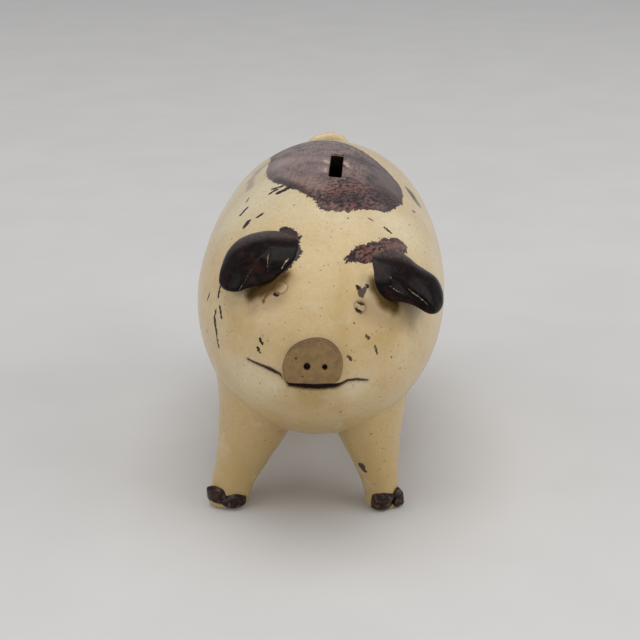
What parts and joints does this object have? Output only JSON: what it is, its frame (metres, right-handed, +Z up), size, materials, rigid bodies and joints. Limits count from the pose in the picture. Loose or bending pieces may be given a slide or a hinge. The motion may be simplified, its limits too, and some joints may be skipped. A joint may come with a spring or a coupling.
{
  "type": "piggy bank",
  "caption": "Hand-made pottery pig money bank: a hollow egg-shaped body with a coin slot along its back, and a snout, ears, tail, legs and toes of clay joined onto it.",
  "frame": {"origin": "on the surface it stands on, under the middle of its overall length and width", "axes": "+Z up, -Y towards the nose, +X towards the pig's own left side"},
  "size_m": [0.1, 0.2059, 0.1253],
  "materials": {
    "cream_glaze": "gloss",
    "bare_clay": "satin",
    "dark_glaze": "gloss",
    "toe_glaze": "gloss"
  },
  "bodies": {
    "root": {"body": "cream_glaze", "snout": "bare_clay", "right_ear": "dark_glaze", "left_ear": "dark_glaze", "tail": "cream_glaze", "front_right_leg": "cream_glaze", "front_left_leg": "cream_glaze", "rear_right_leg": "cream_glaze", "rear_left_leg": "cream_glaze", "front_right_outer_toe": "toe_glaze", "front_right_inner_toe": "toe_glaze", "front_left_outer_toe": "toe_glaze", "front_left_inner_toe": "toe_glaze", "rear_right_outer_toe": "toe_glaze", "rear_right_inner_toe": "toe_glaze", "rear_left_outer_toe": "toe_glaze", "rear_left_inner_toe": "toe_glaze"}
  },
  "joints": []
}
